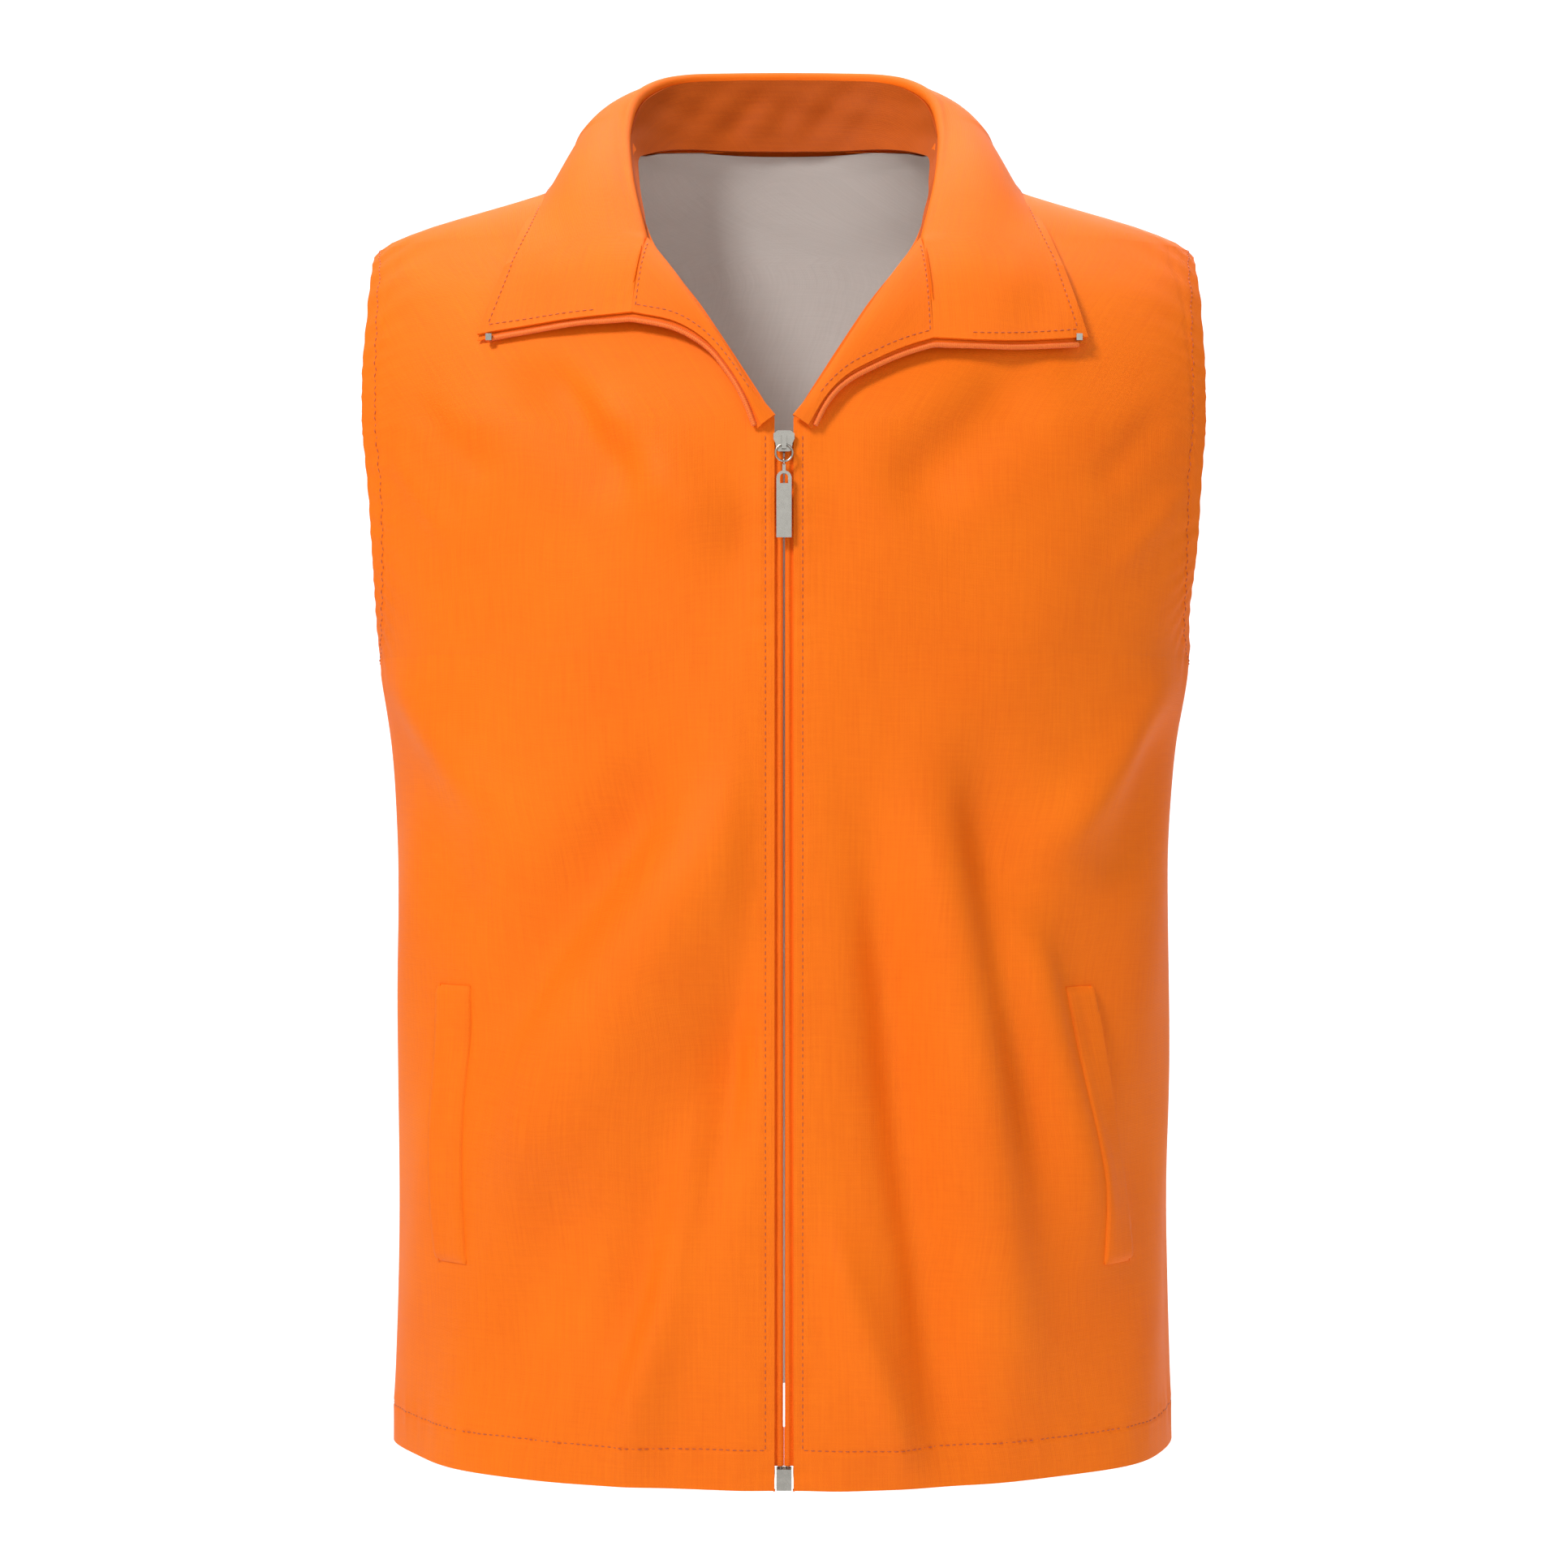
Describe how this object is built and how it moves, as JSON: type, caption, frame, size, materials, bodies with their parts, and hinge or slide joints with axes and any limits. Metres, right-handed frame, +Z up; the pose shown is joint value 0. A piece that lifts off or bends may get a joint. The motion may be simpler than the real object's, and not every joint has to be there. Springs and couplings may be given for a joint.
{
  "type": "zip-front work vest",
  "caption": "Sleeveless lined work vest with a full-length front zip, turned-out collar and lapels, and two welt pockets.",
  "frame": {"origin": "centre line of the body at the level of the hem", "axes": "+Z up, -Y to the front where the zip is, +X to the wearer's left"},
  "size_m": [0.4424, 0.276, 0.7503],
  "materials": {
    "orange_cloth": "plain-weave polyester, slight sheen",
    "collar_cloth": "plain-weave polyester, interlined",
    "grey_lining": "thin smooth grey lining cloth",
    "zip_tape": "woven zip tape",
    "zip_coil": "dyed nylon coil",
    "nickel": "bright nickel plate, slightly worn"
  },
  "bodies": {
    "root": {"back_shell": "orange_cloth", "back_lining": "grey_lining", "collar_stand": "collar_cloth", "collar_fall": "collar_cloth", "box_pin": "nickel", "insertion_pin": "nickel", "retainer_box": "nickel", "left_front_shell": "orange_cloth", "left_front_facing": "orange_cloth", "left_front_lining": "grey_lining", "left_armhole_facing": "orange_cloth", "left_pocket_welt": "orange_cloth", "left_pocket_bag": "grey_lining", "left_zip_tape": "zip_tape", "left_zip_coil": "zip_coil", "right_front_shell": "orange_cloth", "right_front_facing": "orange_cloth", "right_front_lining": "grey_lining", "right_armhole_facing": "orange_cloth", "right_pocket_welt": "orange_cloth", "right_pocket_bag": "grey_lining", "right_zip_tape": "zip_tape", "right_zip_coil": "zip_coil"},
    "left_lapel_turn": {"left_lapel": "collar_cloth", "left_collar_leaf": "collar_cloth", "left_lapel_zip_tape": "zip_tape", "left_lapel_zip_coil": "zip_coil", "left_top_stop": "nickel"},
    "right_lapel_turn": {"right_lapel": "collar_cloth", "right_collar_leaf": "collar_cloth", "right_lapel_zip_tape": "zip_tape", "right_lapel_zip_coil": "zip_coil", "right_top_stop": "nickel"},
    "slider": {"slider_body": "nickel"},
    "ring": {"pull_ring": "nickel"},
    "tab": {"pull_tab": "nickel"}
  },
  "joints": [
    {"name": "left_lapel_fold", "type": "hinge", "parent": "root", "child": "left_lapel_turn", "pos_m": [0.005, -0.136, 0.527], "axis": [-0.4847, -0.4671, -0.7395], "range_deg": [0, 75]},
    {"name": "right_lapel_fold", "type": "hinge", "parent": "root", "child": "right_lapel_turn", "pos_m": [-0.005, -0.136, 0.527], "axis": [-0.4847, 0.4671, 0.7395], "range_deg": [0, 75]},
    {"name": "slider_travel", "type": "slide", "parent": "root", "child": "slider", "axis": [0, 0, -1], "range_m": [0, 0.49]},
    {"name": "ring_swing", "type": "hinge", "parent": "slider", "child": "ring", "pos_m": [0, -0.138, 0.5178], "axis": [-1, 0, 0], "range_deg": [0, 110]},
    {"name": "tab_swing", "type": "hinge", "parent": "ring", "child": "tab", "pos_m": [0, -0.138, 0.5094], "axis": [-1, 0, 0], "range_deg": [0, 65]}
  ]
}
